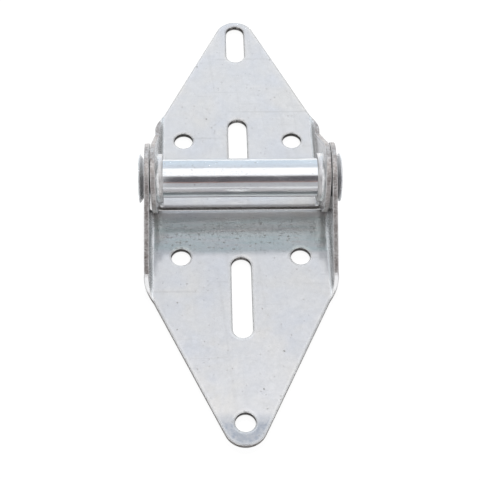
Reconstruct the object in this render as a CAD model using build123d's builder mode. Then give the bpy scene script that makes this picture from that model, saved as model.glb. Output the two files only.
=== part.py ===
from build123d import *
import math
import os

# Sectional garage door hinge. A narrow upper leaf turns between the ears of a wide lower leaf,
# on a flared tube that also takes the stem of a track roller.
# X runs along the tube, Y up the door, Z away from the door. The back faces lie in Z = 0 and
# the origin lies on them straight behind the middle of the tube. Sizes are in millimetres.

# Sheet, the same for both leaves
sheet = 2.0
inner_bend_radius = 2.0

# Tube, with its ends flared over the outer ears
tube_radius = 7.95
tube_wall = 1.6
flare_radius = 10.0
flare_length = 1.75
flare_rim = 0.7
flare_root_radius = 0.5
flare_start = 0.35

# Knuckle, with its widths and gap taken at the height of the tube
axis_height = 15.9
ear_radius = 14.3
outer_width = 77.8
leaf_gap = 1.0
collar_wall = 2.0
collar_length = 2.5
running_clearance = 0.05
seat_clearance = 0.03

# Lower leaf, distances from the tube's centre line towards its tip. Splay is the flanges' lean
# outwards from square, in degrees.
lower_splay = -1.0
lower_web_start = 6.5
lower_flange_foot = 39.0
lower_edge_foot = 50.4
lower_tip_centre = 104.35
lower_tip_radius = 8.45
lower_holes_offset = 29.5
lower_holes_spacing = 48.6
lower_tip_hole_offset = 103.2
lower_slot_near_end = 29.7

# Upper leaf, in the same way
upper_splay = 1.9
upper_web_overlap = 4.8
upper_flange_foot = 32.2
upper_edge_foot = 44.8
upper_tip_centre = 90.1
upper_tip_radius = 8.8
upper_holes_offset = 30.0
upper_holes_spacing = 46.7
upper_slot_far_end = 41.6
tip_slot_near_end = 74.8
tip_slot_length = 21.6

# Punched holes and slots for the door's screws
hole_diameter = 8.0
slot_length = 37.5

# Sizes that follow from the ones above
middle = sheet / 2
outer_bend_radius = inner_bend_radius + sheet
middle_bend_radius = inner_bend_radius + middle
inner_width = outer_width - 2 * (sheet + leaf_gap)
tube_axis = Axis((0, 0, axis_height), (1, 0, 0))
overcut = 5.0
graze = 0.01


def folded_leaf(width, splay, edge_foot, flange_foot, tip_centre, tip_radius, web_start):
    """Sheet of one leaf with both flanges folded up and its tip towards +Y, before any punching.

    The straight sloping edge of the flat blank runs on over the bend, so the folded sheet is a
    channel cut to a plan and to a side view that share one rule for that edge. From the bend the
    flange rises in a straight line to the ear's circle. The plan passes a graze outside the bend,
    so that its curve never only touches the outer face.
    """
    half_width = width / 2
    lean = math.tan(math.radians(splay))
    traced_top = axis_height + ear_radius + overcut
    top_half = half_width - middle + (ear_radius + overcut) * lean
    foot_half = half_width - middle - (axis_height - middle) * lean
    flat_half = foot_half - middle_bend_radius * math.tan(math.radians((90 - splay) / 2))
    tip_reach = tip_centre - edge_foot
    edge_angle = math.atan2(flat_half, tip_reach) - math.asin(tip_radius / math.hypot(flat_half, tip_reach))
    bend_travel = middle_bend_radius / math.tan(edge_angle)
    bend_angles = [math.radians(90 - splay) * step / 3 for step in range(4)]
    plan_bend = [
        (flat_half + (outer_bend_radius + graze) * math.sin(angle), edge_foot - bend_travel * angle)
        for angle in bend_angles
    ]
    side_bend = [
        (edge_foot - bend_travel * angle, outer_bend_radius - inner_bend_radius * math.cos(angle))
        for angle in bend_angles
    ]
    bend_end, bend_top = side_bend[-1]
    rise = axis_height - bend_top
    foot_reach = math.hypot(flange_foot, rise)
    flange_angle = math.atan2(rise, flange_foot) + math.asin(ear_radius / foot_reach)
    flange_run = math.sqrt(foot_reach**2 - ear_radius**2)
    tip_start = math.degrees(edge_angle)
    tip_end = tip_centre + tip_radius
    tip_tangent = (tip_radius * math.cos(edge_angle), tip_centre + tip_radius * math.sin(edge_angle))

    with BuildPart() as leaf:
        # Channel section over the length of the web, open away from the door
        with BuildSketch(Plane.XZ.offset(-web_start)):
            with BuildLine():
                FilletPolyline(
                    (-top_half, traced_top),
                    (-foot_half, middle),
                    (foot_half, middle),
                    (top_half, traced_top),
                    radius=middle_bend_radius,
                )
            trace(line_width=sheet)
        extrude(amount=-(tip_end + overcut - web_start))
        # Beyond the end of the web nothing is bent, so the ears are flat there
        with BuildSketch(Plane.XZ.offset(-web_start)):
            with BuildLine():
                Line((foot_half, middle), (top_half, traced_top))
                mirror(about=Plane.YZ)
            trace(line_width=sheet)
        extrude(amount=web_start + ear_radius + overcut)
        # Plan, half drawn and mirrored
        with BuildSketch(Plane.XY.offset(-overcut)):
            with BuildLine():
                CenterArc((0, tip_centre), tip_radius, tip_start, 90 - tip_start)
                Line(tip_tangent, plan_bend[0])
                Spline(*plan_bend)
                Polyline(
                    plan_bend[-1],
                    (half_width + overcut, bend_end),
                    (half_width + overcut, -ear_radius - overcut),
                    (0, -ear_radius - overcut),
                )
                mirror(about=Plane.YZ)
            make_face()
        extrude(amount=traced_top + 2 * overcut, mode=Mode.INTERSECT)
        # Side view: web, sloping flange and round ear
        with BuildSketch(Plane.YZ.offset(-half_width - overcut)):
            with BuildLine():
                Spline(*side_bend)
                Polyline(
                    side_bend[-1],
                    (flange_foot, bend_top),
                    (
                        flange_foot - flange_run * math.cos(flange_angle),
                        bend_top + flange_run * math.sin(flange_angle),
                    ),
                    (0, axis_height),
                    (web_start, axis_height),
                    (web_start, 0),
                    (tip_end + overcut, 0),
                    (tip_end + overcut, sheet),
                    side_bend[0],
                )
            make_face()
            with Locations((0, axis_height)):
                Circle(ear_radius)
        extrude(amount=width + 2 * overcut, mode=Mode.INTERSECT)
    return leaf.part


def slot_centre(near_end, length):
    """Middle of a slot that starts at a distance from the tube's centre line."""
    return near_end + length / 2


# Lower leaf: wide channel whose ears stand outside the upper leaf's
lower_sheet = mirror(
    folded_leaf(
        outer_width,
        lower_splay,
        lower_edge_foot,
        lower_flange_foot,
        lower_tip_centre,
        lower_tip_radius,
        lower_web_start,
    ),
    about=Plane.XZ,
)

with BuildPart() as lower_leaf:
    add(lower_sheet)
    # Screw holes, tip hole and slot
    with BuildSketch(Plane.XY) as lower_punching:
        with Locations((0, -lower_holes_offset)):
            with GridLocations(lower_holes_spacing, 0, 2, 1):
                Circle(hole_diameter / 2)
        with Locations((0, -lower_tip_hole_offset)):
            Circle(hole_diameter / 2)
        with Locations((0, -slot_centre(lower_slot_near_end, slot_length))):
            SlotOverall(slot_length, hole_diameter, rotation=90)
    extrude(amount=sheet, both=True, mode=Mode.SUBTRACT)
    # Seats of the tube in both ears
    with BuildSketch(Plane.YZ) as seats:
        with Locations((0, axis_height)):
            Circle(tube_radius + seat_clearance)
    extrude(amount=outer_width, both=True, mode=Mode.SUBTRACT)
lower_leaf.part.label = "lower_leaf"

# Upper leaf: narrow channel with inner ears, and collars drawn inwards round the tube
upper_sheet = folded_leaf(
    inner_width,
    upper_splay,
    upper_edge_foot,
    upper_flange_foot,
    upper_tip_centre,
    upper_tip_radius,
    -upper_web_overlap,
)
inner_ear_middle = inner_width / 2 - middle
collar_radius = tube_radius + running_clearance + collar_wall

with BuildPart() as upper_leaf:
    add(upper_sheet)
    # Collars
    for direction in (-1, 1):
        with BuildSketch(Plane.YZ.offset(direction * inner_ear_middle)) as collar:
            with Locations((0, axis_height)):
                Circle(collar_radius)
        extrude(amount=-direction * (middle + collar_length))
    # Running bore for the tube
    with BuildSketch(Plane.YZ) as bore:
        with Locations((0, axis_height)):
            Circle(tube_radius + running_clearance)
    extrude(amount=inner_width, both=True, mode=Mode.SUBTRACT)
    # Screw holes and slots
    with BuildSketch(Plane.XY) as upper_punching:
        with Locations((0, upper_holes_offset)):
            with GridLocations(upper_holes_spacing, 0, 2, 1):
                Circle(hole_diameter / 2)
        with Locations((0, slot_centre(upper_slot_far_end - slot_length, slot_length))):
            SlotOverall(slot_length, hole_diameter, rotation=90)
        with Locations((0, slot_centre(tip_slot_near_end, tip_slot_length))):
            SlotOverall(tip_slot_length, hole_diameter, rotation=90)
    extrude(amount=sheet, both=True, mode=Mode.SUBTRACT)
upper_leaf.part.label = "upper_leaf"

# Tube: passes through all four ears, and its ends are flared over the outer ones
bore_radius = tube_radius - tube_wall
flare_x = outer_width / 2 + flare_start
rim_x = outer_width / 2 + flare_length
rim_lean = math.atan2(rim_x - flare_x, flare_radius - tube_radius)
rim_end = (rim_x + flare_rim * math.cos(rim_lean), axis_height + flare_radius - flare_rim * math.sin(rim_lean))

with BuildPart() as hinge_tube:
    with BuildSketch(Plane.XZ) as wall:
        with BuildLine() as wall_line:
            Polyline(
                (0, axis_height + bore_radius),
                (0, axis_height + tube_radius),
                (flare_x, axis_height + tube_radius),
                (rim_x, axis_height + flare_radius),
                rim_end,
                (flare_x, axis_height + bore_radius),
                (0, axis_height + bore_radius),
            )
        make_face()
        fillet(wall.vertices().sort_by_distance((flare_x, axis_height + tube_radius))[0], flare_root_radius)
        fillet(wall.vertices().sort_by_distance((flare_x, axis_height + bore_radius))[0], tube_wall)
    revolve(axis=tube_axis)
    mirror(about=Plane.YZ)
hinge_tube.part.label = "hinge_tube"

os.makedirs("parts", exist_ok=True)
for piece in (lower_leaf, upper_leaf, hinge_tube):
    export_step(piece.part, f"parts/{piece.part.label}.step")
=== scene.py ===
import math

import bmesh
import bpy
from mathutils import Matrix, Vector
from mathutils.bvhtree import BVHTree


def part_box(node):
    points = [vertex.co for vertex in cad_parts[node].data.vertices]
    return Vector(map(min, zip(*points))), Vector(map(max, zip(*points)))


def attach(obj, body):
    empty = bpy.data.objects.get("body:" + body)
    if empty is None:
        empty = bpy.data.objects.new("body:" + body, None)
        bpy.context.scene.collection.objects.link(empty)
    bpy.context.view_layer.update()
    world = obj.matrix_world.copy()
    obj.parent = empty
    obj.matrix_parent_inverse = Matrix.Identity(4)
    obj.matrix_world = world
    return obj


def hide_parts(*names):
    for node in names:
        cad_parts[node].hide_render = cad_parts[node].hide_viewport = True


# A sectional garage door hinge lies on its back on a white table. Two folded leaves of zinc-plated
# sheet turn on a flared tube. Lengths are in metres, in the part's own frame.
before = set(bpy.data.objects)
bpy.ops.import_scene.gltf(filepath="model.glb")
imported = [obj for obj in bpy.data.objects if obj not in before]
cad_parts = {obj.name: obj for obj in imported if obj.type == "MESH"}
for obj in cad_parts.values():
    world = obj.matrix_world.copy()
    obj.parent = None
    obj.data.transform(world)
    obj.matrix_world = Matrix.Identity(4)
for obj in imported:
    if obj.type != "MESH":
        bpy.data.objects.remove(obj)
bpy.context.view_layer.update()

# Wide leaf
# One blank of 2 mm zinc-plated sheet steel, punched and folded up along both sides into the outer
# ears. Its web is flat and ends just short of the tube. The press leaves rolled-over rims and bare,
# brownish shear faces on every cut.
SHEET = 0.002
SHEET_SLACK = 0.0002
AXIS_HEIGHT = 0.0159
COLLAR_RADIUS = 0.010
COLLAR_ROOT = 0.0330
COLLAR_FILLET = 0.0013
RIM = 0.00014
RIM_ANGLE = math.radians(32)
FLAT_ANGLE = math.radians(0.3)
MERGE_REACH = 2e-6
ROOT_REACH = 2e-5
JUST_OFF = 1e-5
BACK_TO_BACK = -0.9
FACE_TO_FACE = -0.5
ROLL_OVER = 0.0022
CUT_ROUNDING = 0.0008
CUT_HIGHLIGHT_RIM = 0.0006
CREVICE_REACH = 0.0025
CUT_CREVICE_REACH = 0.002
FACE_SLOT, CUT_SLOT, RIM_SLOT, WALL_SLOT = 0, 1, 2, 3

# Stretches of the leaf that look different: where each begins and ends, and how long it fades
TARNISHED_TIP = (-0.130, -0.0990, 0.0055)
# The stretch of web in the tube's shadow, which takes painted shade mixed with scuffing
SHADED_SCUFFED_WEB = (-0.0285, -0.0090, 0.003)
WEB_HEIGHT = (-0.001, 0.0032, 0.0008)
# The stretch of the wide leaf whose rims carry a painted highlight
HIGHLIGHT_RIM_LENGTH = (-0.130, -0.030, 0.006)
# Where the cut carries a painted glint, along the leaf and in height
GLINT_LENGTH = (-0.056, -0.0380, 0.003)
GLINT_HEIGHT = (0.0022, 0.0052, 0.0003)

# Specks: how fine their ragged outline is, how far it strays, and their smallest and largest size
SPECK_GRAIN = 1900.0
SPECK_STRAY = 0.0010
SPECK_SIZES = (0.45, 1.25)

SHEET_COOL = (0.725, 0.73, 0.76)
SHEET_WARM = (0.775, 0.755, 0.735)
SHEET_PALE = (0.785, 0.775, 0.775)
SHEET_TARNISH = (0.36, 0.395, 0.455)
SHEET_SHADE_SCUFF = (0.60, 0.72, 0.72)
SHEET_SCRATCH = (0.52, 0.51, 0.50)
SHEET_HIGHLIGHT = (0.92, 0.925, 0.93)
BEND_STREAK_DIM = (0.66, 0.68, 0.69)
SPECK_BROWN = (0.20, 0.19, 0.18)
CREVICE_SHADE_BROWN = (0.07, 0.06, 0.055)
PIT_BROWN = (0.27, 0.235, 0.215)
CUT_COLOURS = ((0.34, 0.30, 0.285), (0.55, 0.525, 0.515), (0.78, 0.77, 0.765))
SHADED_WALL_COLOURS = ((0.13, 0.12, 0.115), (0.24, 0.23, 0.225), (0.45, 0.44, 0.43))
RIM_DULL = (0.52, 0.515, 0.51)
RIM_BRIGHT = (0.80, 0.805, 0.81)


def new_material(name):
    """Empty node material with a Principled shader on its output."""
    made = bpy.data.materials.new(name)
    made.use_nodes = True
    tree = made.node_tree
    tree.nodes.clear()
    shader = tree.nodes.new("ShaderNodeBsdfPrincipled")
    output = tree.nodes.new("ShaderNodeOutputMaterial")
    tree.links.new(shader.outputs["BSDF"], output.inputs["Surface"])
    return made, tree, shader


def pattern_place(tree, stretch=(1.0, 1.0, 1.0)):
    """Object coordinates stretched by a factor along each axis."""
    place = tree.nodes.new("ShaderNodeTexCoord")
    mapping = tree.nodes.new("ShaderNodeMapping")
    mapping.inputs["Scale"].default_value = stretch
    tree.links.new(place.outputs["Object"], mapping.inputs["Vector"])
    return mapping.outputs["Vector"]


def noise_value(tree, place, scale, detail=3.0, roughness=0.5, distortion=0.0):
    """Noise factor from 0 to 1 at a number of grains per metre."""
    node = tree.nodes.new("ShaderNodeTexNoise")
    node.inputs["Scale"].default_value = scale
    node.inputs["Detail"].default_value = detail
    node.inputs["Roughness"].default_value = roughness
    node.inputs["Distortion"].default_value = distortion
    tree.links.new(place, node.inputs["Vector"])
    return node.outputs["Fac"]


def remap(tree, value, low, high, to_low, to_high):
    """Value mapped from one range to another, held at the ends."""
    node = tree.nodes.new("ShaderNodeMapRange")
    node.inputs["From Min"].default_value = low
    node.inputs["From Max"].default_value = high
    node.inputs["To Min"].default_value = to_low
    node.inputs["To Max"].default_value = to_high
    tree.links.new(value, node.inputs["Value"])
    return node.outputs["Result"]


def combine(tree, kind, first, second):
    """Sum, product or another rule of two values."""
    node = tree.nodes.new("ShaderNodeMath")
    node.operation = kind
    for socket, value in zip(node.inputs, (first, second)):
        if isinstance(value, (int, float)):
            socket.default_value = value
        else:
            tree.links.new(value, socket)
    return node.outputs["Value"]


def times(tree, first, second):
    """Product of two values."""
    return combine(tree, "MULTIPLY", first, second)


def blend_colours(tree, factor, first, second, kind="MIX"):
    """Mix of two colours, each a colour or another node's output."""
    node = tree.nodes.new("ShaderNodeMix")
    node.data_type = "RGBA"
    node.blend_type = kind
    factor_in, colours = node.inputs[0], (node.inputs[6], node.inputs[7])
    if isinstance(factor, (int, float)):
        factor_in.default_value = factor
    else:
        tree.links.new(factor, factor_in)
    for socket, colour in zip(colours, (first, second)):
        if isinstance(colour, tuple):
            socket.default_value = (*colour, 1.0)
        else:
            tree.links.new(colour, socket)
    return node.outputs[2]


def add_bump(tree, shader, rim, *layers):
    """Rims softened over a width, then a chain of bumps, each a height value and its depth."""
    soft = tree.nodes.new("ShaderNodeBevel")
    soft.samples = 6
    soft.inputs["Radius"].default_value = rim
    normal = soft.outputs["Normal"]
    for height, depth in layers:
        bump = tree.nodes.new("ShaderNodeBump")
        bump.inputs["Distance"].default_value = depth
        tree.links.new(height, bump.inputs["Height"])
        tree.links.new(normal, bump.inputs["Normal"])
        normal = bump.outputs["Normal"]
    tree.links.new(normal, shader.inputs["Normal"])


def cell_colour_parts(tree, cells):
    """Red, green and blue of each cell's own colour, three numbers that differ from cell to cell."""
    parts = tree.nodes.new("ShaderNodeSeparateColor")
    tree.links.new(cells.outputs["Color"], parts.inputs["Color"])
    return parts.outputs


def dark_specks(tree, place, scale, radius, share):
    """One where a small ragged pit or grain of dirt lies, zero elsewhere. They differ in size."""
    ragged = tree.nodes.new("ShaderNodeTexNoise")
    ragged.inputs["Scale"].default_value = SPECK_GRAIN
    tree.links.new(place, ragged.inputs["Vector"])
    shifted = tree.nodes.new("ShaderNodeVectorMath")
    shifted.operation = "MULTIPLY_ADD"
    tree.links.new(ragged.outputs["Color"], shifted.inputs[0])
    shifted.inputs[1].default_value = (SPECK_STRAY, SPECK_STRAY, SPECK_STRAY)
    tree.links.new(place, shifted.inputs[2])
    cells = tree.nodes.new("ShaderNodeTexVoronoi")
    cells.inputs["Scale"].default_value = scale
    tree.links.new(shifted.outputs["Vector"], cells.inputs["Vector"])
    parts = cell_colour_parts(tree, cells)
    size = remap(tree, parts["Blue"], 0.0, 1.0, *SPECK_SIZES)
    reach = combine(tree, "DIVIDE", cells.outputs["Distance"], size)
    dot = remap(tree, reach, radius * 0.5, radius, 1.0, 0.0)
    kept = remap(tree, parts["Red"], 1.0 - share, 1.0 - share * 0.6, 0.0, 1.0)
    return times(tree, dot, kept)


def hair_scratches(tree, turn, scale, share):
    """One along thin scratches that run at an angle in the plane of the sheet."""
    place = tree.nodes.new("ShaderNodeTexCoord")
    turned_place = tree.nodes.new("ShaderNodeMapping")
    turned_place.inputs["Rotation"].default_value = (0.0, 0.0, turn)
    tree.links.new(place.outputs["Object"], turned_place.inputs["Vector"])
    drawn_out = tree.nodes.new("ShaderNodeMapping")
    drawn_out.inputs["Scale"].default_value = (0.04, 1.0, 1.0)
    tree.links.new(turned_place.outputs["Vector"], drawn_out.inputs["Vector"])
    lines = noise_value(tree, drawn_out.outputs["Vector"], scale, detail=1.0, roughness=0.4)
    return remap(tree, lines, 1.0 - share, 1.0 - share * 0.8, 0.0, 1.0)


def between(tree, low, high, fade, axis="Y"):
    """One where a coordinate lies between two places, fading over a length at both ends."""
    place = tree.nodes.new("ShaderNodeTexCoord")
    axes_of = tree.nodes.new("ShaderNodeSeparateXYZ")
    tree.links.new(place.outputs["Object"], axes_of.inputs["Vector"])
    rise = remap(tree, axes_of.outputs[axis], low, low + fade, 0.0, 1.0)
    fall = remap(tree, axes_of.outputs[axis], high - fade, high, 1.0, 0.0)
    return times(tree, rise, fall)


def painted_crevice_shade(tree, reach, own_corners_only=False):
    """Painted shade: one deep in the gaps between pieces and inside corners, zero on open faces."""
    shelter = tree.nodes.new("ShaderNodeAmbientOcclusion")
    shelter.samples = 6
    shelter.only_local = own_corners_only
    shelter.inputs["Distance"].default_value = reach
    return remap(tree, shelter.outputs["AO"], 0.34, 0.76, 1.0, 0.0)


def rims_painted_highlight(tree, width):
    """Painted highlight: one along outer and inner rims, where the rounded surface leans away from
    the face.
    """
    rounded = tree.nodes.new("ShaderNodeBevel")
    rounded.samples = 4
    rounded.inputs["Radius"].default_value = width
    face = tree.nodes.new("ShaderNodeNewGeometry")
    lean = tree.nodes.new("ShaderNodeVectorMath")
    lean.operation = "DOT_PRODUCT"
    tree.links.new(rounded.outputs["Normal"], lean.inputs[0])
    tree.links.new(face.outputs["Normal"], lean.inputs[1])
    return remap(tree, lean.outputs["Value"], 0.995, 0.95, 0.0, 1.0)


def bends_painted_highlight(tree):
    """Painted highlight: one where the sheet's own surface leans sideways, as it does round a bend
    or a fillet.
    """
    place = tree.nodes.new("ShaderNodeTexCoord")
    axes_of = tree.nodes.new("ShaderNodeSeparateXYZ")
    tree.links.new(place.outputs["Normal"], axes_of.inputs["Vector"])
    lean = combine(tree, "ABSOLUTE", axes_of.outputs["X"], 0.0)
    begun = remap(tree, lean, 0.06, 0.22, 0.0, 1.0)
    ended = remap(tree, lean, 0.90, 0.985, 1.0, 0.0)
    return times(tree, begun, ended)


def zinc_sheet_material():
    """Zinc plating on cold-rolled sheet: warm and cool clouds, faint spangle, specks, scratches."""
    made, tree, shader = new_material("zinc plated sheet")
    plain = pattern_place(tree)
    clouds = noise_value(tree, plain, scale=60.0, detail=3.0, roughness=0.55, distortion=0.4)
    patches = noise_value(tree, plain, scale=24.0, detail=2.0, roughness=0.5, distortion=0.3)
    mottle = noise_value(tree, plain, scale=620.0, detail=4.0, roughness=0.62)
    grain = noise_value(tree, plain, scale=2100.0, detail=3.0, roughness=0.6)
    waves = noise_value(tree, plain, scale=70.0, detail=2.0, roughness=0.5)
    rolled_place = pattern_place(tree, (0.10, 1.0, 1.0))
    rolling = noise_value(tree, rolled_place, scale=520.0, detail=3.0, roughness=0.6)
    spangle = tree.nodes.new("ShaderNodeTexVoronoi")
    spangle.inputs["Scale"].default_value = 430.0
    tree.links.new(plain, spangle.inputs["Vector"])
    shade_and_scuff = times(tree, between(tree, *SHADED_SCUFFED_WEB), between(tree, *WEB_HEIGHT, axis="Z"))

    # Clouds, the tarnished tip, and the web under the tube toned darker and cyan, partly painted
    # shade of the tube and partly scuffing
    colour = blend_colours(tree, remap(tree, clouds, 0.35, 0.65, 0.0, 1.0), SHEET_COOL, SHEET_WARM)
    colour = blend_colours(tree, remap(tree, patches, 0.42, 0.62, 0.0, 0.6), colour, SHEET_PALE)
    tarnish = times(tree, between(tree, *TARNISHED_TIP), remap(tree, mottle, 0.38, 0.62, 0.55, 0.95))
    colour = blend_colours(tree, tarnish, colour, SHEET_TARNISH)
    # Painted shade: the web's stretch in the tube's shadow takes a darker cyan tone, mixed with
    # scuffing
    shade_scuff_tone = times(tree, shade_and_scuff, remap(tree, rolling, 0.35, 0.65, 0.15, 0.75))
    colour = blend_colours(tree, shade_scuff_tone, colour, SHEET_SHADE_SCUFF)

    # Mottle, grain and spangle as one grey that darkens or lightens the zinc a little
    mottle_tone = remap(tree, mottle, 0.25, 0.75, 0.955, 1.04)
    grain_tone = remap(tree, grain, 0.25, 0.75, 0.95, 1.05)
    spangle_tone = remap(tree, cell_colour_parts(tree, spangle)["Green"], 0.0, 1.0, 0.975, 1.02)
    shade = times(tree, mottle_tone, times(tree, grain_tone, spangle_tone))
    shade_colour = tree.nodes.new("ShaderNodeCombineColor")
    for channel in ("Red", "Green", "Blue"):
        tree.links.new(shade, shade_colour.inputs[channel])
    colour = blend_colours(tree, 1.0, colour, shade_colour.outputs["Color"], "MULTIPLY")

    # Scratches along and across the rolling, then specks, most of them on the shaded, scuffed web
    along = hair_scratches(tree, turn=0.0, scale=620.0, share=0.335)
    across = hair_scratches(tree, turn=math.radians(84), scale=420.0, share=0.37)
    scratches = combine(tree, "MAXIMUM", along, times(tree, across, 0.45))
    colour = blend_colours(tree, times(tree, scratches, 0.28), colour, SHEET_SCRATCH)
    crowd = remap(tree, noise_value(tree, plain, scale=75.0, detail=2.0), 0.42, 0.60, 0.35, 1.0)
    specks = dark_specks(tree, plain, scale=240.0, radius=0.13, share=0.20)
    fine_specks = times(tree, dark_specks(tree, plain, scale=560.0, radius=0.28, share=0.45), crowd)
    drawn_out = pattern_place(tree, (0.55, 1.0, 1.0))
    dense_specks = dark_specks(tree, drawn_out, scale=950.0, radius=0.50, share=0.62)
    dirt = combine(tree, "MAXIMUM", specks, times(tree, fine_specks, 0.8))
    dirt = combine(tree, "MAXIMUM", dirt, times(tree, dense_specks, times(tree, shade_and_scuff, 0.8)))
    colour = blend_colours(tree, times(tree, dirt, 0.9), colour, SPECK_BROWN)

    # Painted highlights along the rims and round the bends, painted streaks of reflection in the
    # bends, and painted shade in the crevices
    # Painted highlight: rims lightened towards pale zinc, mottled, only along the wide leaf's lower
    # stretch
    rims = times(tree, rims_painted_highlight(tree, ROLL_OVER), remap(tree, mottle, 0.3, 0.6, 0.5, 1.0))
    rims = times(tree, rims, between(tree, *HIGHLIGHT_RIM_LENGTH))
    colour = blend_colours(tree, rims, colour, SHEET_HIGHLIGHT)
    # Painted highlight round the bends and collar fillets, with painted streaks of reflection along
    # them; these faces are also made more metallic
    bend_highlight = bends_painted_highlight(tree)
    streak_place = pattern_place(tree, (1.0, 0.05, 1.0))
    reflection_streaks = noise_value(tree, streak_place, scale=1300.0, detail=2.0, roughness=0.6)
    streak_share = remap(tree, reflection_streaks, 0.40, 0.60, 0.0, 1.0)
    bend_highlight_tone = blend_colours(tree, streak_share, BEND_STREAK_DIM, SHEET_HIGHLIGHT)
    colour = blend_colours(tree, times(tree, bend_highlight, 0.85), colour, bend_highlight_tone)
    # Painted shade: the sheet darkens to a near-black brown in gaps and inside corners
    crevice_shade = times(tree, painted_crevice_shade(tree, CREVICE_REACH), 0.85)
    colour = blend_colours(tree, crevice_shade, colour, CREVICE_SHADE_BROWN)
    tree.links.new(colour, shader.inputs["Base Color"])

    tree.links.new(remap(tree, bend_highlight, 0.0, 1.0, 0.55, 0.97), shader.inputs["Metallic"])
    mottle_gloss = remap(tree, mottle, 0.25, 0.75, 0.13, 0.19)
    cloud_gloss = remap(tree, clouds, 0.3, 0.7, 0.0, 0.04)
    gloss = combine(tree, "ADD", mottle_gloss, cloud_gloss)
    gloss = combine(tree, "ADD", gloss, times(tree, dirt, 0.25))
    tree.links.new(gloss, shader.inputs["Roughness"])
    add_bump(
        tree,
        shader,
        ROLL_OVER,
        (waves, 0.00015),
        (mottle, 0.000018),
        (grain, 0.000006),
        (scratches, -0.000008),
        (dirt, -0.00003),
    )
    return made


def cut_edge_material(name, dark, light, torn_and_rim_highlight):
    """Bare steel of a sheared edge: brownish, torn across its thickness, with a painted highlight on
    its rims.

    Where the outer edge comes down into the bend it carries a painted glint, and its own corners
    painted shade.
    """
    made, tree, shader = new_material(name)
    plain = pattern_place(tree)
    torn_place = pattern_place(tree, (1.0, 1.0, 3.0))
    tear = noise_value(tree, torn_place, scale=900.0, detail=4.0, roughness=0.6)
    stain = noise_value(tree, plain, scale=260.0, detail=4.0, roughness=0.65)
    pits = dark_specks(tree, plain, scale=950.0, radius=0.42, share=0.60)
    colour = blend_colours(tree, remap(tree, stain, 0.38, 0.62, 0.0, 1.0), dark, light)
    colour = blend_colours(tree, remap(tree, tear, 0.45, 0.65, 0.0, 0.6), colour, torn_and_rim_highlight)
    colour = blend_colours(tree, times(tree, pits, 0.65), colour, PIT_BROWN)
    # Painted highlight: the rims lightened towards the pale torn colour
    rims = times(tree, rims_painted_highlight(tree, CUT_HIGHLIGHT_RIM), remap(tree, stain, 0.35, 0.6, 0.1, 0.6))
    colour = blend_colours(tree, rims, colour, torn_and_rim_highlight)
    # Painted glint: pale zinc on the cut where the outer edge comes down into the bend
    painted_glint = times(tree, between(tree, *GLINT_HEIGHT, axis="Z"), between(tree, *GLINT_LENGTH))
    colour = blend_colours(tree, times(tree, painted_glint, 0.8), colour, SHEET_HIGHLIGHT)
    # Painted shade: the cut darkens to a near-black brown in its own inside corners
    crevice_shade = times(tree, painted_crevice_shade(tree, CUT_CREVICE_REACH, own_corners_only=True), 0.9)
    colour = blend_colours(tree, crevice_shade, colour, CREVICE_SHADE_BROWN)
    tree.links.new(colour, shader.inputs["Base Color"])
    shader.inputs["Metallic"].default_value = 0.75
    tree.links.new(remap(tree, tear, 0.3, 0.7, 0.26, 0.44), shader.inputs["Roughness"])
    add_bump(tree, shader, CUT_ROUNDING, (tear, 0.00005))
    return made


def rolled_rim_material():
    """Zinc rubbed bright where the press rolled the rim of a cut over."""
    made, tree, shader = new_material("rolled rim")
    wear = noise_value(tree, pattern_place(tree), scale=420.0, detail=4.0, roughness=0.6)
    colour = blend_colours(tree, remap(tree, wear, 0.35, 0.65, 0.0, 1.0), RIM_DULL, RIM_BRIGHT)
    tree.links.new(colour, shader.inputs["Base Color"])
    shader.inputs["Metallic"].default_value = 0.9
    tree.links.new(remap(tree, wear, 0.3, 0.7, 0.36, 0.26), shader.inputs["Roughness"])
    add_bump(tree, shader, CUT_ROUNDING, (wear, 0.00002))
    return made


leaf_materials = (
    zinc_sheet_material(),
    cut_edge_material("sheared edge", *CUT_COLOURS),
    rolled_rim_material(),
    # Hole walls get a darker copy of the sheared-edge material: painted shade inside the holes
    cut_edge_material("punched hole wall in painted shade", *SHADED_WALL_COLOURS),
)


def kind_of_face(face, shell):
    """Sheet face, sheared edge or punched wall, told by what lies behind and before the face.

    Behind a sheet face lies the sheet's other side. Before a punched wall lies the wall opposite.
    """
    middle = face.calc_center_median()
    _, far_normal, _, depth = shell.ray_cast(middle - face.normal * JUST_OFF, -face.normal)
    through_sheet = depth is not None and abs(depth - SHEET) < SHEET_SLACK
    if through_sheet and far_normal.dot(face.normal) < BACK_TO_BACK:
        return FACE_SLOT
    _, opposite_normal, _, opening = shell.ray_cast(middle + face.normal * JUST_OFF, face.normal)
    if opening is not None and opposite_normal.dot(face.normal) < FACE_TO_FACE:
        return WALL_SLOT
    return CUT_SLOT


def is_collar_root(edge):
    """Whether both ends of an edge lie on the circle where a collar meets its ear."""
    return all(
        abs(math.hypot(end.co.y, end.co.z - AXIS_HEIGHT) - COLLAR_RADIUS) < ROOT_REACH
        and abs(end.co.x) > COLLAR_ROOT
        for end in edge.verts
    )


def with_rolled_rims(blank, shell):
    """Mesh of a blank with its rims rolled over, and strayed points set back on the solid."""
    rims = blank.modifiers.new("rolled rims", "BEVEL")
    rims.width = RIM
    rims.segments = 3
    rims.limit_method = "ANGLE"
    rims.angle_limit = RIM_ANGLE
    rims.use_clamp_overlap = False
    rims.material = RIM_SLOT
    evaluated = blank.evaluated_get(bpy.context.evaluated_depsgraph_get())
    finished = bpy.data.meshes.new_from_object(evaluated)
    for corner in finished.vertices:
        on_shell, _, _, away = shell.find_nearest(corner.co)
        if away > RIM:
            corner.co = on_shell
    blank.modifiers.clear()
    return finished


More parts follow.
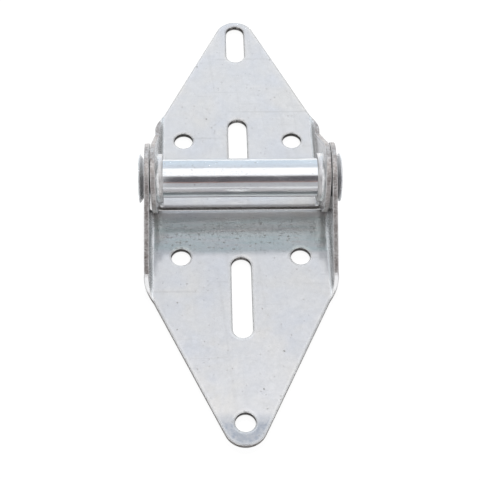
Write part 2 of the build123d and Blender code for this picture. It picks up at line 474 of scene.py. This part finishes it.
def dressed_leaf(node, body, name):
    """Copy of a leaf's solid with sheared faces told from sheet faces and rolled-over rims."""
    shape = bmesh.new()
    shape.from_mesh(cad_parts[node].data)
    bmesh.ops.remove_doubles(shape, verts=shape.verts, dist=MERGE_REACH)
    shape.normal_update()
    shell = BVHTree.FromBMesh(shape)
    for face in shape.faces:
        face.material_index = kind_of_face(face, shell)
    bmesh.ops.dissolve_limit(
        shape, angle_limit=FLAT_ANGLE, verts=shape.verts, edges=shape.edges, delimit={"MATERIAL"}
    )
    roots = [edge for edge in shape.edges if is_collar_root(edge)]
    if roots:
        bmesh.ops.bevel(
            shape,
            geom=roots,
            offset=COLLAR_FILLET,
            offset_type="OFFSET",
            segments=5,
            profile=0.5,
            affect="EDGES",
            clamp_overlap=False,
            material=-1,
        )
        shell = BVHTree.FromBMesh(shape)
    for face in shape.faces:
        face.smooth = True
    mesh = bpy.data.meshes.new(name)
    shape.to_mesh(mesh)
    shape.free()
    for material in leaf_materials:
        mesh.materials.append(material)
    blank = bpy.data.objects.new(name, mesh)
    bpy.context.scene.collection.objects.link(blank)
    blank.data = with_rolled_rims(blank, shell)
    blank.data.name = name
    flats = blank.modifiers.new("flat faces stay flat", "WEIGHTED_NORMAL")
    flats.weight = 90
    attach(blank, body)
    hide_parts(node)
    return blank


dressed_leaf("lower_leaf", "wide_leaf", "wide_leaf_sheet")

# Narrow leaf
# The same sheet, folded narrower so that its ears run inside the outer ones, with collars drawn
# round the tube. It is the only piece that turns.
dressed_leaf("upper_leaf", "narrow_leaf", "narrow_leaf_sheet")

# Tube
# Drawn steel tube with bright zinc plating, pushed through all four ears and flared over the outer
# ones so that it stays with the wide leaf. A roller's stem slides in its bore.
_, tube_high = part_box("hinge_tube")
TUBE_RADIUS = 0.00795
BORE_RADIUS = 0.00635
FLARE_RADIUS = tube_high.y
RIM_REACH = tube_high.x
FLARE_START = 0.03925
FLARE_LIP = 0.00034
PLAIN_REACH = 0.02
ROUND_STEPS = 144
TUBE_ROUNDING = 0.00008

# Steps of the flare past its start and out from the bore or the outside
FLARE_INSIDE = (
    (-0.0012, 0.0),
    (-0.0005, 0.00006),
    (0.0, 0.0003),
    (0.0006, 0.00095),
    (0.0012, 0.00195),
)
FLARE_OUTSIDE = ((0.0009, 0.0013), (0.0005, 0.00062), (0.00018, 0.00014), (-0.00015, 0.0))

SHANK = (-0.0389, 0.0389, 0.0004)
TUBE_GREY = (0.80, 0.82, 0.845)
TUBE_BRIGHT = (0.90, 0.915, 0.93)
TUBE_SPECK = (0.36, 0.30, 0.27)


def arc_points(centre, radius, start, end, steps):
    """Points of an arc in the tube's half section, angles in degrees."""
    turn = (end - start) / steps
    return [
        (
            centre[0] + radius * math.cos(math.radians(start + turn * step)),
            centre[1] + radius * math.sin(math.radians(start + turn * step)),
        )
        for step in range(steps + 1)
    ]


def tube_half_section():
    """Half section from the middle of the bore round the flared end to the middle outside."""
    inside = [(0.0, BORE_RADIUS), (PLAIN_REACH, BORE_RADIUS)]
    inside += [(FLARE_START + along, BORE_RADIUS + out) for along, out in FLARE_INSIDE]
    lip_centre = (RIM_REACH - FLARE_LIP, FLARE_RADIUS - FLARE_LIP)
    rounded = arc_points(lip_centre, FLARE_LIP, start=-20, end=160, steps=10)
    outside = [(FLARE_START + along, TUBE_RADIUS + out) for along, out in FLARE_OUTSIDE]
    outside += [(PLAIN_REACH, TUBE_RADIUS), (0.0, TUBE_RADIUS)]
    return inside + rounded + outside


def turned_tube():
    """The half section turned round the tube's axis and mirrored to the other end."""
    half = tube_half_section()
    section = half + [(-x, radius) for x, radius in reversed(half[1:-1])]
    shape = bmesh.new()
    rings = []
    for step in range(ROUND_STEPS):
        turn = 2 * math.pi * step / ROUND_STEPS
        rings.append(
            [
                shape.verts.new((x, radius * math.cos(turn), AXIS_HEIGHT + radius * math.sin(turn)))
                for x, radius in section
            ]
        )
    for step in range(ROUND_STEPS):
        here, there = rings[step], rings[(step + 1) % ROUND_STEPS]
        for index in range(len(section)):
            after = (index + 1) % len(section)
            shape.faces.new((here[index], here[after], there[after], there[index]))
    bmesh.ops.recalc_face_normals(shape, faces=shape.faces)
    for face in shape.faces:
        face.smooth = True
    mesh = bpy.data.meshes.new("flared_tube")
    shape.to_mesh(mesh)
    shape.free()
    made = bpy.data.objects.new("flared_tube", mesh)
    bpy.context.scene.collection.objects.link(made)
    return made


def bright_tube_material():
    """Bright zinc over drawn steel, with fine lines round the tube, rub marks and a few specks."""
    made, tree, shader = new_material("bright zinc tube")
    plain = pattern_place(tree)
    turned_place = pattern_place(tree, (1.0, 0.08, 0.08))
    lines = noise_value(tree, turned_place, scale=1500.0, detail=3.0, roughness=0.6)
    rubbed_place = pattern_place(tree, (0.25, 1.0, 1.0))
    rubs = noise_value(tree, rubbed_place, scale=240.0, detail=4.0, roughness=0.6, distortion=0.8)
    grain = noise_value(tree, plain, scale=1500.0, detail=3.0, roughness=0.65)
    dust = noise_value(tree, plain, scale=2400.0, detail=2.0, roughness=0.7)
    specks = dark_specks(tree, plain, scale=900.0, radius=0.32, share=0.35)
    colour = blend_colours(tree, remap(tree, rubs, 0.3, 0.7, 0.0, 1.0), TUBE_GREY, TUBE_BRIGHT)
    colour = blend_colours(tree, times(tree, specks, 0.35), colour, TUBE_SPECK)
    tree.links.new(colour, shader.inputs["Base Color"])

    # The shank between the ears is polished, the flares are duller
    shank = between(tree, *SHANK, axis="X")
    clean = remap(tree, dust, 0.50, 0.72, 1.0, 0.72)
    bare = times(tree, clean, remap(tree, shank, 0.0, 1.0, 0.60, 1.0))
    tree.links.new(bare, shader.inputs["Metallic"])
    rub_gloss = remap(tree, rubs, 0.25, 0.75, 0.07, 0.19)
    gloss = combine(tree, "ADD", rub_gloss, remap(tree, shank, 0.0, 1.0, 0.12, 0.0))
    tree.links.new(gloss, shader.inputs["Roughness"])
    add_bump(
        tree,
        shader,
        TUBE_ROUNDING,
        (lines, 0.000006),
        (rubs, 0.00004),
        (grain, 0.000006),
        (specks, -0.000006),
    )
    return made


tube = turned_tube()
tube.data.materials.append(bright_tube_material())
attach(tube, "wide_leaf")
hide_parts("hinge_tube")

# Table
# A plain white sheet that runs far past the picture. The camera sees it glowing white, with a
# painted shadow where the hinge shelters it, over a faint real shadow.
TABLE_DROP = 0.0003
TABLE_HALF = 3.0
SHADOW_REACH = 0.006
SHADOW_OPENNESS = (0.12, 0.42)
TABLE_GLOW = (0.12, 0.95)
TABLE_WHITE = (0.80, 0.80, 0.80, 1.0)
TABLE_SEEN = (0.12, 0.12, 0.12, 1.0)
table_mesh = bpy.data.meshes.new("table")
table_mesh.from_pydata(
    [(x * TABLE_HALF, y * TABLE_HALF, -TABLE_DROP) for x, y in ((-1, -1), (1, -1), (1, 1), (-1, 1))],
    [],
    [(0, 1, 2, 3)],
)
table = bpy.data.objects.new("table", table_mesh)
bpy.context.scene.collection.objects.link(table)
table_material = bpy.data.materials.new("white table")
table_material.use_nodes = True
tree = table_material.node_tree
tree.nodes.clear()
paper = tree.nodes.new("ShaderNodeBsdfDiffuse")
paper.inputs["Color"].default_value = TABLE_WHITE
seen_paper = tree.nodes.new("ShaderNodeBsdfDiffuse")
seen_paper.inputs["Color"].default_value = TABLE_SEEN
# Painted shadow: the glow the camera sees is dimmed where the hinge shelters the table
shelter = tree.nodes.new("ShaderNodeAmbientOcclusion")
shelter.inputs["Distance"].default_value = SHADOW_REACH
glow = tree.nodes.new("ShaderNodeEmission")
glow_strength = remap(tree, shelter.outputs["AO"], *SHADOW_OPENNESS, *TABLE_GLOW)
tree.links.new(glow_strength, glow.inputs["Strength"])
seen = tree.nodes.new("ShaderNodeAddShader")
tree.links.new(seen_paper.outputs["BSDF"], seen.inputs[0])
tree.links.new(glow.outputs["Emission"], seen.inputs[1])


def shown_to_camera(tree, for_rays, for_camera, output):
    """Shader for light and reflections, with another one that only the camera sees."""
    ray = tree.nodes.new("ShaderNodeLightPath")
    choose = tree.nodes.new("ShaderNodeMixShader")
    tree.links.new(ray.outputs["Is Camera Ray"], choose.inputs["Fac"])
    tree.links.new(for_rays, choose.inputs[1])
    tree.links.new(for_camera, choose.inputs[2])
    tree.links.new(choose.outputs["Shader"], output.inputs["Surface"])
    return ray


table_output = tree.nodes.new("ShaderNodeOutputMaterial")
shown_to_camera(tree, paper.outputs["BSDF"], seen.outputs["Shader"], table_output)
table_mesh.materials.append(table_material)

# Room
# White ceiling light over the hinge, a pale blue window wall beyond it, and the dark side of the
# room behind the camera. The sides are pale and darken at their far ends. The camera itself sees
# plain white.
MATTE_SHARE = 0.35
CAMERA_WHITE = (1.0, 1.0, 1.0, 1.0)
DARK_END = (0.26, 0.265, 0.27)

# Where the sides begin and where they grow dark, by how far a direction points sideways, and where
# their far ends begin, as a share of the half turn from the camera's horizon
FLANK_SPAN = (0.17, 0.30)
DARK_SPAN = (0.42, 0.60)
FAR_SPAN = (0.52, 0.60)

# Colours of the room by the angle from the horizon behind the camera over the zenith, in degrees
ROOM_STOPS = (
    (0.0, (0.50, 0.50, 0.52)),
    (23.0, (0.46, 0.46, 0.48)),
    (27.5, (0.34, 0.20, 0.17)),
    (32.0, (0.11, 0.10, 0.11)),
    (60.0, (0.11, 0.105, 0.115)),
    (71.0, (1.20, 1.20, 1.21)),
    (112.0, (1.20, 1.20, 1.21)),
    (117.0, (0.66, 0.70, 0.76)),
    (150.0, (0.70, 0.79, 0.88)),
    (180.0, (0.67, 0.76, 0.85)),
)
FLANK_STOPS = (
    (0.0, (1.10, 1.10, 1.11)),
    (35.0, (0.95, 0.95, 0.96)),
    (70.0, (1.05, 1.05, 1.06)),
    (100.0, (1.10, 1.11, 1.12)),
    (118.0, (1.05, 1.08, 1.11)),
    (150.0, (1.05, 1.09, 1.13)),
    (180.0, (0.95, 0.99, 1.03)),
)

world = bpy.data.worlds.new("room")
bpy.context.scene.world = world
world.use_nodes = True
tree = world.node_tree
tree.nodes.clear()
way = tree.nodes.new("ShaderNodeTexCoord")
axes = tree.nodes.new("ShaderNodeSeparateXYZ")
tree.links.new(way.outputs["Generated"], axes.inputs["Vector"])
towards_camera = times(tree, axes.outputs["Y"], -1.0)
turn = combine(tree, "ARCTAN2", axes.outputs["Z"], towards_camera)
half_turn_share = combine(tree, "DIVIDE", turn, math.pi)
sideways = combine(tree, "ABSOLUTE", axes.outputs["X"], 0.0)


def room_colours(bands):
    """Colour that changes with the angle over the room, from a row of angles and colours."""
    ramp = tree.nodes.new("ShaderNodeValToRGB")
    stops = ramp.color_ramp.elements
    while len(stops) < len(bands):
        stops.new(0.5)
    for stop, (angle, colour) in zip(stops, bands):
        stop.position = angle / 180.0
        stop.color = (*colour, 1.0)
    tree.links.new(half_turn_share, ramp.inputs["Fac"])
    return ramp.outputs["Color"]


flank_share = remap(tree, sideways, *FLANK_SPAN, 0.0, 1.0)
room_tone = blend_colours(tree, flank_share, room_colours(ROOM_STOPS), room_colours(FLANK_STOPS))
side_share = remap(tree, sideways, *DARK_SPAN, 0.0, 1.0)
far_share = remap(tree, half_turn_share, *FAR_SPAN, 0.0, 1.0)
room_tone = blend_colours(tree, times(tree, side_share, far_share), room_tone, DARK_END)
room = tree.nodes.new("ShaderNodeBackground")
tree.links.new(room_tone, room.inputs["Color"])
white = tree.nodes.new("ShaderNodeBackground")
white.inputs["Color"].default_value = CAMERA_WHITE
room_output = tree.nodes.new("ShaderNodeOutputWorld")
ray = shown_to_camera(tree, room.outputs["Background"], white.outputs["Background"], room_output)
# Matt surfaces take less of the room than polished ones, because the lamps light them too
strength = remap(tree, ray.outputs["Is Diffuse Ray"], 0.0, 1.0, 1.0, MATTE_SHARE)
tree.links.new(strength, room.inputs["Strength"])

# Lamps
# Two soft boxes beyond the hinge. The higher one draws the tube's soft-edged shadow on the wide
# leaf, the lower one reaches in under the tube. Polished metal doesn't show them.
LAMP_AWAY = 2.5
LAMPS = (("back_lamp", 41.5, 0.15, 66.0), ("low_back_lamp", 25.0, 0.45, 14.0))
for lamp_name, height_angle, side, power in LAMPS:
    lamp_data = bpy.data.lights.new(lamp_name, "AREA")
    lamp_data.size = side
    lamp_data.energy = power
    lamp = bpy.data.objects.new(lamp_name, lamp_data)
    bpy.context.scene.collection.objects.link(lamp)
    rise = math.radians(height_angle)
    stand = Vector((0.0, math.cos(rise), math.sin(rise)))
    lamp.location = stand * LAMP_AWAY
    lamp.rotation_euler = stand.to_track_quat("Z", "Y").to_euler()
    lamp.visible_glossy = False

# Camera
# Above the table on the wide leaf's side, looking down on the tube through a long lens. Its place,
# turn and lens were fitted together with the part's sizes.
SENSOR_WIDTH = 36.0
LENS = 95.8845
CAMERA_PLACE = Vector((-0.015571, -0.310276, 0.439002))
PICTURE_RIGHT = Vector((0.99953, -0.02343, 0.01972))
PICTURE_UP = Vector((0.00866, 0.83404, 0.55164))
eye = bpy.data.cameras.new("camera")
eye.sensor_width = SENSOR_WIDTH
eye.lens = LENS
camera = bpy.data.objects.new("camera", eye)
bpy.context.scene.collection.objects.link(camera)
backwards = PICTURE_RIGHT.cross(PICTURE_UP).normalized()
upwards = backwards.cross(PICTURE_RIGHT).normalized()
turned = Matrix((PICTURE_RIGHT.normalized(), upwards, backwards)).transposed().to_4x4()
camera.matrix_world = Matrix.Translation(CAMERA_PLACE) @ turned
bpy.context.scene.camera = camera
bpy.context.scene.view_settings.view_transform = "Standard"
